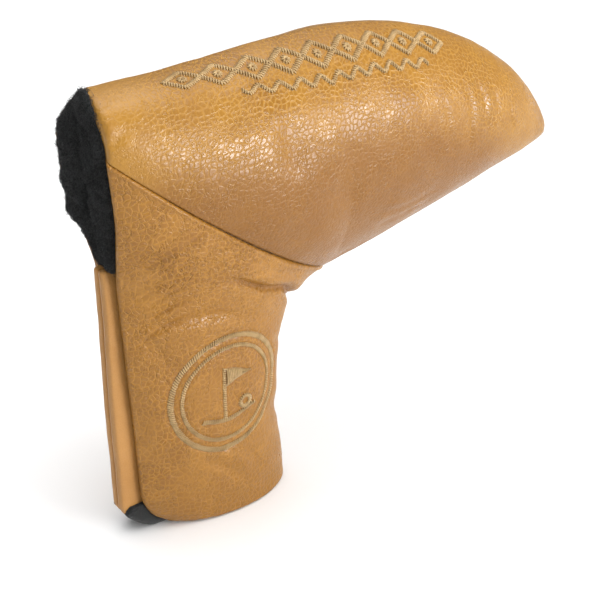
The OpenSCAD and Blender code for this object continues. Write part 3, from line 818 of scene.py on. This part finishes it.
def heel_edge(side):
    """The edge of the leather round the heel opening, from the top of the strip up to the sole."""
    leg = leg_point(np.linspace(FUR_LOW_W, 0, 60), np.zeros(60), side)
    head = head_point(np.zeros(60), np.linspace(0, 1, 60), side)
    path = np.vstack([leg, head[1:]])
    along = np.concatenate([[0], np.cumsum(np.linalg.norm(np.diff(path, axis=0), axis=1))])
    at = np.linspace(0, along[-1] - 1.2, FUR_ROWS)
    return np.stack([np.interp(at, along, path[:, k]) for k in range(3)], -1)


def fur_faces(side):
    """The bulging face of one half of the fur that fills the heel opening, and its back."""
    edge = heel_edge(side)[:, None]
    r = np.linspace(0, 1, FUR_COLS)[None, :, None]
    start = edge - np.array((0, side * 1.5, 0)) + np.array((1.6, 0, 0))
    middle = edge * np.array((1, 0, 1)) + np.array((0.8, side * 0.25, 0))
    face = lerp(start, middle, r)
    width = np.clip(np.abs(edge[..., 1:2]) / 10, 0, 1)
    bulge = through(edge[..., 2:], FUR_BULGE[side])
    face[..., :1] -= bulge * width * np.sin(math.pi * r ** 0.8) ** 0.7
    ends = np.linspace(0, 1, FUR_ROWS)[:, None, None]
    face[..., :1] += 2.2 * (1 - np.sqrt(np.clip(ends / 0.05, 0, 1))) + 1.5 * (1 - smooth((1 - ends) / 0.06))
    face[..., :1] += (0.7 * cloud(face, 6.0, 2.0) + 0.6 * cloud(face, 2.2, 8.0))[..., None] * width
    back = face + np.array((FUR_BED_T, 0, 0))
    return face, back


def heel_fur(side):
    face, back = fur_faces(side)
    body = sheet_mesh(f"{SIDE_NAME[side]}_fur_bed", face, back, PLUSH)
    on_wing(body)
    rng = np.random.default_rng(20 + side)
    count = 6000
    row, col = rng.uniform(0, 0.96 * (FUR_ROWS - 1), count), rng.uniform(0, FUR_COLS - 1, count)
    normal = outward(face)
    if normal[..., 0].mean() > 0:
        normal = -normal
    fur = strands(f"{SIDE_NAME[side]}_heel_fur", sample(face, row, col), sample(normal, row, col),
                  1.7, 0.9, 30 + side, (0, 0, -0.5))
    on_wing(fur)


def hem_fur(side):
    """Pile that shows round the shaft opening."""
    rng = np.random.default_rng(40 + side)
    count = 2600
    rows, cols = plush_inner[side].shape[:2]
    row = (rows - 1) * (1 - 0.3 * rng.uniform(0, 1, count) ** 1.6)
    col = rng.uniform(0, cols - 1, count)
    roots = sample(plush_inner[side], row, col)
    inwards = -outward(plush_inner[side])
    fur = strands(f"{SIDE_NAME[side]}_hem_fur", roots, sample(inwards, row, col),
                  3.0, 0.5, 50 + side, (0, 0, -0.4))
    on_wing(fur)


LINING_CORNER = (-24.6, 8.5), (-24.7, 6.8), (-21, 3.2), (-17, 0.7), (-12, 0.4), (-9, 0.6)


def lining_tab(side):
    """The corner of the lining that shows below the strip."""
    outline = spline(LINING_CORNER, np.linspace(0, 1, 40))
    top = np.linspace((-23.5, 9.5), (-9, 9.5), 40)
    k = np.linspace(0, 1, 14)[None, :, None]
    flat = lerp(outline[:, None], top[:, None], k)
    puff = 0.7 * np.sin(math.pi * np.linspace(0, 1, 40))[:, None] ** 0.4 * smooth(k[..., 0] / 0.3 + 0.15)
    outer = np.stack([flat[..., 0], side * (3.6 + puff), flat[..., 1]], -1)
    inner = np.stack([flat[..., 0], np.full(flat.shape[:2], side * 0.9), flat[..., 1]], -1)
    obj = sheet_mesh(f"{SIDE_NAME[side]}_lining_corner", outer, inner, PLUSH)
    on_wing(obj)


# ---------------------------------------------------------------- strips and hook-and-loop tape
STRIP_PROFILE = ((-26, -1.6), (-25.3, -2.85), (-23, -3.05), (-18, -3), (-13.6, -2.95), (-13.0, -2.3),
                 (-13.6, -1.62), (-18, -1.55), (-22.4, -1.55), (-23.0, -1.2), (-23.4, -0.45), (-24.6, -0.2),
                 (-25.7, -0.45))
STRIP_ROLL = 0.7


def strip(side):
    """Folded leather strip with a turned back edge."""
    ring = np.array(STRIP_PROFILE + STRIP_PROFILE[:1])
    profile = spline(ring, np.linspace(0, 1, 73))[:-1]
    profile[:, 1] *= -side
    tangent = np.roll(profile, -1, 0) - np.roll(profile, 1, 0)
    inward = np.stack([-tangent[:, 1], tangent[:, 0]], -1) / np.linalg.norm(tangent, axis=1, keepdims=True)
    inward *= np.sign(((profile.mean(0) - profile) * inward).sum())
    z = np.concatenate([STRIP_LOW_Z + np.array((0, 0.05, 0.2, 0.45)),
                        np.linspace(STRIP_LOW_Z + 0.7, STRIP_TOP_Z - 1.4, 150),
                        STRIP_TOP_Z - np.array((1.1, 0.7, 0.35, 0.12, 0))])
    near_end = np.minimum(z - STRIP_LOW_Z, STRIP_TOP_Z - z)
    rest = STRIP_ROLL - np.clip(near_end, 0, STRIP_ROLL)
    sink = STRIP_ROLL - np.sqrt(np.maximum(STRIP_ROLL ** 2 - rest ** 2, 0))
    flat = profile[None] + inward[None] * sink[:, None, None]
    points = np.stack([flat[..., 0], flat[..., 1], np.broadcast_to(z[:, None], flat.shape[:2])], -1)
    lean = smooth((points[..., 2] - 79) / 4)
    points[..., 1] -= side * 0.5 * lean * (np.abs(points[..., 1]) > 1.7)
    points[..., 0] += 0.16 * np.sin(points[..., 2] / 9) + 0.12 * cloud(points, 9.0)
    points[..., 1] += 0.1 * cloud(points, 4.0, 6.0)
    points[..., 0] += 0.8 * smooth((9.5 - points[..., 2]) / 2.5) * smooth((-24.5 - points[..., 0]) / 1.5)
    rows, cols = points.shape[:2]
    around = np.concatenate([points, points[:, :1]], axis=1)
    obj = make_mesh(f"{SIDE_NAME[side]}_strip_leather", around, grid_faces(rows, cols + 1), STRIP)
    layer = obj.data.attributes.new("hide", "FLOAT_VECTOR", "POINT")
    hide = np.stack([distance_from(around, "first_row"), distance_from(around, "first_col"),
                     0 * around[..., 0]], -1)
    layer.data.foreach_set("vector", hide.reshape(-1).astype(np.float32))
    return obj


def finish_strip(side):
    """Closes the ends of the strip and hides the CAD strip that it stands for."""
    obj = strip(side)
    bm = bmesh.new()
    bm.from_mesh(obj.data)
    bmesh.ops.remove_doubles(bm, verts=bm.verts, dist=1e-6)
    bmesh.ops.holes_fill(bm, edges=[e for e in bm.edges if e.is_boundary], sides=0)
    bmesh.ops.recalc_face_normals(bm, faces=bm.faces)
    bm.to_mesh(obj.data)
    bm.free()
    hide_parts(f"{SIDE_NAME[side]}_strip")
    on_wing(obj)


TAPE_X, TAPE_Z = (-23.0, -13.5), (8.0, 82.0)


def tape_base(name, side, node):
    """Woven backing of the tape, with its selvedges slightly raised."""
    x = np.linspace(*TAPE_X, 40)[None, :]
    z = np.linspace(*TAPE_Z, 220)[:, None]
    edge = np.minimum(x - TAPE_X[0], TAPE_X[1] - x)
    weave = 0.05 * np.sin(x * 7) * np.sin(z * 7) + 0.08 * (edge < 0.8)
    face = np.stack([x + 0 * z, side * (0.95 - weave), z + 0 * x], -1)
    back = np.stack([x + 0 * z, side * (1.45 + 0 * weave), z + 0 * x], -1)
    obj = sheet_mesh(name, face, back, TAPE)
    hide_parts(node)
    on_wing(obj)


def hooks(side):
    """Rows of small bent hooks."""
    x, z = np.meshgrid(np.arange(TAPE_X[0] + 1.1, TAPE_X[1] - 1, 1.05),
                       np.arange(TAPE_Z[0] + 1, TAPE_Z[1] - 1, 1.15))
    roots = np.stack([x.ravel(), np.full(x.size, side * 0.98), z.ravel()], -1)
    angle = np.linspace(0, 1.35 * math.pi, 9)
    rise = np.concatenate([[0.0, 0.35], 0.35 + 0.22 * np.sin(angle[1:])])
    reach = np.concatenate([[0.0, 0.0], 0.22 - 0.22 * np.cos(angle[1:])])
    turned = np.where(np.arange(x.size) % 2, 1, -1)
    path = np.stack([0 * rise[None] + 0 * turned[:, None], -side * rise[None] + 0 * turned[:, None],
                     reach[None] * turned[:, None]], -1)
    obj = tubes_mesh(f"{SIDE_NAME[side]}_hooks", roots[:, None] + path, 0.09, TAPE, sides=4)
    on_wing(obj)


def loops(side):
    """A nap of small thread loops."""
    rng = np.random.default_rng(60)
    count = 1500
    roots = np.stack([rng.uniform(TAPE_X[0] + 0.9, TAPE_X[1] - 0.9, count), np.full(count, side * 0.97),
                      rng.uniform(TAPE_Z[0] + 0.7, TAPE_Z[1] - 0.7, count)], -1)
    turn = rng.uniform(0, math.pi, (count, 1))
    k = np.linspace(0, 1, 8)[None, :]
    span = rng.uniform(0.35, 0.8, (count, 1))
    path = np.stack([np.cos(turn) * span * (k - 0.5), -side * 0.6 * span * np.sin(math.pi * k) ** 0.7,
                     np.sin(turn) * span * (k - 0.5)], -1)
    obj = tubes_mesh(f"{SIDE_NAME[side]}_loops", roots[:, None] + path, 0.05, TAPE, sides=3)
    on_wing(obj)


# ---------------------------------------------------------------- threads and embroidery
STITCH_PITCH = 3.2


def stitches(name, ends, material, radius, arch, normal, node=None, sides=6):
    """Thread stitches from ends[:, 0] to ends[:, 1], arched along normal."""
    k = np.linspace(0, 1, 7)[None, :, None]
    path = lerp(ends[:, :1], ends[:, 1:], k) + normal[:, None] * arch * np.sin(math.pi * k) ** 0.6
    obj = tubes_mesh(name, path, radius, material, sides=sides)
    if node:
        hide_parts(node)
    return obj


def seam_thread(side):
    """The lockstitch down in the seam between head and leg."""
    t = np.linspace(0.015, 0.985, 420)
    edge = leg_point(np.zeros(420), t, side)
    inner = np.stack([np.interp(t, np.linspace(0, 1, LEG_COLS), leg_normal[side][2, :, k]) for k in range(3)], -1)
    along = np.concatenate([[0], np.cumsum(np.linalg.norm(np.diff(edge, axis=0), axis=1))])
    path = edge - inner * (0.85 + 0.18 * np.cos(2 * math.pi * along / STITCH_PITCH))[:, None]
    obj = tubes_mesh(f"{SIDE_NAME[side]}_seam_stitching", path[None], 0.24, SEAM_THREAD, sides=8)
    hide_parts(f"{SIDE_NAME[side]}_seam_thread")
    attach(obj, "cover")


def toe_thread():
    """The same under the head, from the front of the leg to the toe."""
    v = np.linspace(0.02, 0.97, 420)
    xz = underside_xz(v)
    slope = np.gradient(xz, axis=0)
    slope /= np.linalg.norm(slope, axis=1, keepdims=True)
    along = np.concatenate([[0], np.cumsum(np.linalg.norm(np.diff(xz, axis=0), axis=1))])
    wave = (0.7 + 0.16 * np.cos(2 * math.pi * along / STITCH_PITCH))[:, None]
    lift = wave * np.stack([-slope[:, 1], slope[:, 0]], -1)
    path = np.stack([xz[:, 0] + lift[:, 0], 0 * v, xz[:, 1] + lift[:, 1]], -1)
    obj = tubes_mesh("toe_seam_stitching", path[None], 0.26, SEAM_THREAD, sides=8)
    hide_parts("toe_seam_thread")
    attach(obj, "cover")


def strip_stitching(side):
    """Stitches that hold the strip to the wing, inside."""
    z = np.arange(10.0, 81.0, 3.4)
    low = np.stack([0 * z - 14.2, 0 * z + side * 3.15, z], -1)
    ends = np.stack([low, low + np.array((0, 0, 2.3))], 1)
    normal = np.tile((0.0, side, 0.0), (len(z), 1))
    obj = stitches(f"{SIDE_NAME[side]}_strip_stitching", ends, SEAM_THREAD, 0.26, 0.3, normal,
                   f"{SIDE_NAME[side]}_strip_stitches")
    on_wing(obj)


def locate(xz):
    """Where on the near side of the leg points of the X-Z plane lie, as grid rows and columns."""
    at = np.tile((0.6, 0.46), (len(xz), 1))
    step = 1e-4
    for _ in range(14):
        here = leg_point(at[:, 0], at[:, 1], NEAR)[:, (0, 2)]
        by_w = (leg_point(at[:, 0] + step, at[:, 1], NEAR)[:, (0, 2)] - here) / step
        by_t = (leg_point(at[:, 0], at[:, 1] + step, NEAR)[:, (0, 2)] - here) / step
        miss = xz - here
        area = by_w[:, 0] * by_t[:, 1] - by_w[:, 1] * by_t[:, 0]
        at[:, 0] += (miss[:, 0] * by_t[:, 1] - miss[:, 1] * by_t[:, 0]) / area
        at[:, 1] += (by_w[:, 0] * miss[:, 1] - by_w[:, 1] * miss[:, 0]) / area
        at = np.clip(at, 0.01, 0.995)
    return at[:, 0] * (LEG_ROWS - 1), at[:, 1] * (LEG_COLS - 1)


def on_leg(flat, lift):
    """Points on the near side of the leg, raised by lift."""
    row, col = locate(flat.reshape(-1, 2))
    base = sample(leg_outer[NEAR], row, col) + sample(leg_normal[NEAR], row, col) * lift.reshape(-1, 1)
    return base.reshape(*flat.shape[:-1], 3)


SOLE_U = np.linspace(0, 0.98, 400)
SOLE_X = sole_xz(SOLE_U)[:, 0]


def on_sole(flat, lift):
    """Points on the near side of the sole, where flat is (x, distance from the middle plane)."""
    u = np.interp(flat[..., 0], SOLE_X, SOLE_U)
    t = np.interp(flat[..., 1], SOLE_SPAN, SOLE_T)
    row, col = np.interp(u, HEAD_U, np.arange(len(HEAD_U))), t * (HEAD_COLS - 1)
    return sample(head_outer, row, col) + sample(head_normal, row, col) * lift[..., None]


SOLE_T = np.linspace(1, 0.4, 80)
SOLE_SPAN = np.concatenate([[0], np.cumsum(np.linalg.norm(np.diff(
    head_point(np.full(80, 0.3), SOLE_T, NEAR), axis=0), axis=1))])


def evenly(path, spacing):
    """The same path with points at an even spacing."""
    along = np.concatenate([[0], np.cumsum(np.linalg.norm(np.diff(path, axis=0), axis=1))])
    at = np.linspace(0, along[-1], max(int(round(along[-1] / spacing)), 2) + 1)
    return np.stack([np.interp(at, along, path[:, k]) for k in range(2)], -1)


def satin(paths, width, spacing=0.7, slant=0.45, seed=5):
    """Satin stitches across each path, in the flat: (count, 2 ends, 2)."""
    rng = np.random.default_rng(seed)
    rows = []
    for path in paths:
        points = evenly(np.asarray(path, float), spacing)
        along = np.gradient(points, axis=0)
        along /= np.maximum(np.linalg.norm(along, axis=1, keepdims=True), 1e-9)
        across = np.stack([-along[:, 1], along[:, 0]], -1)
        half = width / 2 * rng.uniform(0.88, 1.1, (len(points), 1))
        rows.append(np.stack([points - across * half - along * half * slant,
                              points + across * half + along * half * slant], 1))
    return np.vstack(rows)


def embroider(name, flat, place, radius=0.25, arch=0.45):
    """Stitches laid on the leather: both ends dip into it."""
    k = np.linspace(0, 1, 7)[None, :, None]
    across = lerp(flat[:, :1], flat[:, 1:], k)
    lift = np.broadcast_to(-0.12 + arch * np.sin(math.pi * k[..., 0]) ** 0.5, across.shape[:2])
    obj = tubes_mesh(name, place(across, lift), radius, SATIN, sides=5)
    return obj


def circle(x, z, radius, start=0.0, end=360.0):
    angle = np.radians(np.linspace(start, end, 90))
    return np.stack([x + radius * np.cos(angle), z + radius * np.sin(angle)], -1)


def badge_lines():
    """A golf flag, a ball and a hole inside a double ring."""
    x, z = BADGE_X, BADGE_Z
    rings = [circle(x, z, BADGE_R)], [circle(x, z, BADGE_INNER_R)]
    pole = [((x - 1.5, z - 7.4), (x - 1.5, z + 8.2))]
    rise = (x - 8.6, z - 6.6), (x - 4, z - 7.8), (x + 1.5, z - 8.2), (x + 8.4, z - 6.4)
    ground = [spline(rise, np.linspace(0, 1, 40))]
    ball = [circle(x + 5.4, z - 4.6, 1.7)]
    return rings, pole, ground, ball


def pennant():
    """Fill of the flag: upright stitches side by side."""
    left, top, drop, reach = BADGE_X - 0.7, BADGE_Z + 8.0, 5.6, 8.2
    k = np.linspace(0.02, 0.97, 15)[:, None]
    wave = 0.5 * np.sin(k * 5)
    high = np.hstack([left + reach * k, top - drop / 2 * k + wave * 0.6])
    low = np.hstack([left + reach * k, top - drop + drop / 2 * k + wave * 0.6])
    return np.stack([low, high], 1)


def badge():
    rings, pole, ground, ball = badge_lines()
    flat = np.vstack([satin(rings[0], 1.5), satin(rings[1], 1.0), satin(pole, 1.1), satin(ground, 1.1),
                      satin(ball, 1.0, 0.6), pennant()])
    past = past_fold(np.insert(flat.mean(1), 1, 0, axis=1))
    for name, part, node in (("badge_front", flat[past >= 0], "badge_front_stitches"),
                             ("badge_back", flat[past < 0], "badge_back_stitches")):
        obj = embroider(name, part, on_leg)
        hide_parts(node)
        on_wing(obj)


def sole_lines():
    """A row of linked diamonds with a dot in each, and a smaller wave under it."""
    first, last, count, middle, half = -7.0, 81.0, 9, 8.0, 3.4
    step = (last - first) / count
    zig, zag = [], []
    for k in range(count):
        x = first + k * step
        zig += [(x, middle), (x + step / 2, middle + half)]
        zag += [(x, middle), (x + step / 2, middle - half)]
    zig.append((last, middle))
    zag.append((last, middle))
    dots = [circle(first + (k + 0.5) * step, middle, 0.75) for k in range(count)]
    wave_x = np.linspace(12, 72, 300)
    wave = [np.stack([wave_x, 14.2 + 1.0 * np.sin(wave_x * 1.05)], -1)]
    return (zig, zag), dots, wave


def sole_embroidery():
    border, dots, wave = sole_lines()
    flat = np.vstack([satin(border, 1.35), satin(dots, 0.9, 0.5), satin(wave, 1.0, 0.6)])
    obj = embroider("sole_stitching", flat, on_sole)
    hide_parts("sole_embroidery")
    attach(obj, "cover")


# ---------------------------------------------------------------- stage, light and camera
def plain(name, colour, roughness):
    m = Nodes(name)
    m.use(Base_Color=m.mix(m.noise(120.0), colour, tuple(c * 0.985 for c in colour)))
    m.fixed(Roughness=roughness, Specular_IOR_Level=0.2)
    return m.material


def floor():
    bpy.ops.mesh.primitive_plane_add(size=40, location=(0, 0, 0))
    plane = bpy.context.object
    plane.name = "floor"
    plane.data.materials.append(plain("floor_white", (0.93, 0.93, 0.93), 0.9))


def sun(name, direction, strength, angle):
    data = bpy.data.lights.new(name, "SUN")
    data.energy, data.angle = strength, math.radians(angle)
    lamp = bpy.data.objects.new(name, data)
    bpy.context.scene.collection.objects.link(lamp)
    lamp.rotation_euler = Vector(direction).to_track_quat("-Z", "Y").to_euler()


def area_light(name, place, target, size, power, spread=180):
    data = bpy.data.lights.new(name, "AREA")
    data.shape, data.size, data.size_y = "RECTANGLE", *size
    data.energy, data.spread = power, math.radians(spread)
    lamp = bpy.data.objects.new(name, data)
    bpy.context.scene.collection.objects.link(lamp)
    lamp.location = place
    lamp.rotation_euler = (Vector(target) - Vector(place)).to_track_quat("-Z", "Y").to_euler()


def lighting():
    world = bpy.data.worlds.new("studio")
    bpy.context.scene.world = world
    world.use_nodes = True
    world.node_tree.nodes["Background"].inputs["Color"].default_value = (1, 1, 1, 1)
    world.node_tree.nodes["Background"].inputs["Strength"].default_value = 0.3
    area_light("top_softbox", (0.1, 0.15, 1.1), (0.1, 0.15, 0), (1.5, 1.6), 9.0)
    sun("overhead", (-0.1, 0.15, -1), 1.75, 60)
    area_light("front_softbox", (0.26, -0.42, 0.15), (0.05, 0, 0.12), (0.36, 0.05), 0.34, spread=60)


def camera():
    data = bpy.data.cameras.new("camera")
    data.lens, data.sensor_width = 75, 36
    data.clip_start = 0.01
    eye = bpy.data.objects.new("camera", data)
    bpy.context.scene.collection.objects.link(eye)
    eye.location = (-0.1502, -0.2585, 0.2244)
    target = Vector((0.0376, 0, 0.0545))
    eye.rotation_euler = (target - eye.location).to_track_quat("-Z", "Y").to_euler()
    bpy.context.scene.camera = eye


# ---------------------------------------------------------------- build
head_leather()
leg_leather(NEAR, ("leg_shell", "near_leg_wing"))
leg_leather(FAR, ("far_leg_wing",))
head_lining()
leg_lining(NEAR, ("leg_lining", "near_wing_lining"))
leg_lining(FAR, ("far_wing_lining",))
for side in (NEAR, FAR):
    heel_fur(side)
    hem_fur(side)
    lining_tab(side)
    finish_strip(side)
    seam_thread(side)
    strip_stitching(side)
tape_base("hook_tape_weave", NEAR, "hook_tape")
tape_base("loop_tape_weave", FAR, "loop_tape")
hooks(NEAR)
loops(FAR)
toe_thread()
badge()
sole_embroidery()
floor()
lighting()
camera()
bpy.context.scene.view_settings.view_transform = "Standard"
bpy.context.scene.view_settings.look = "None"
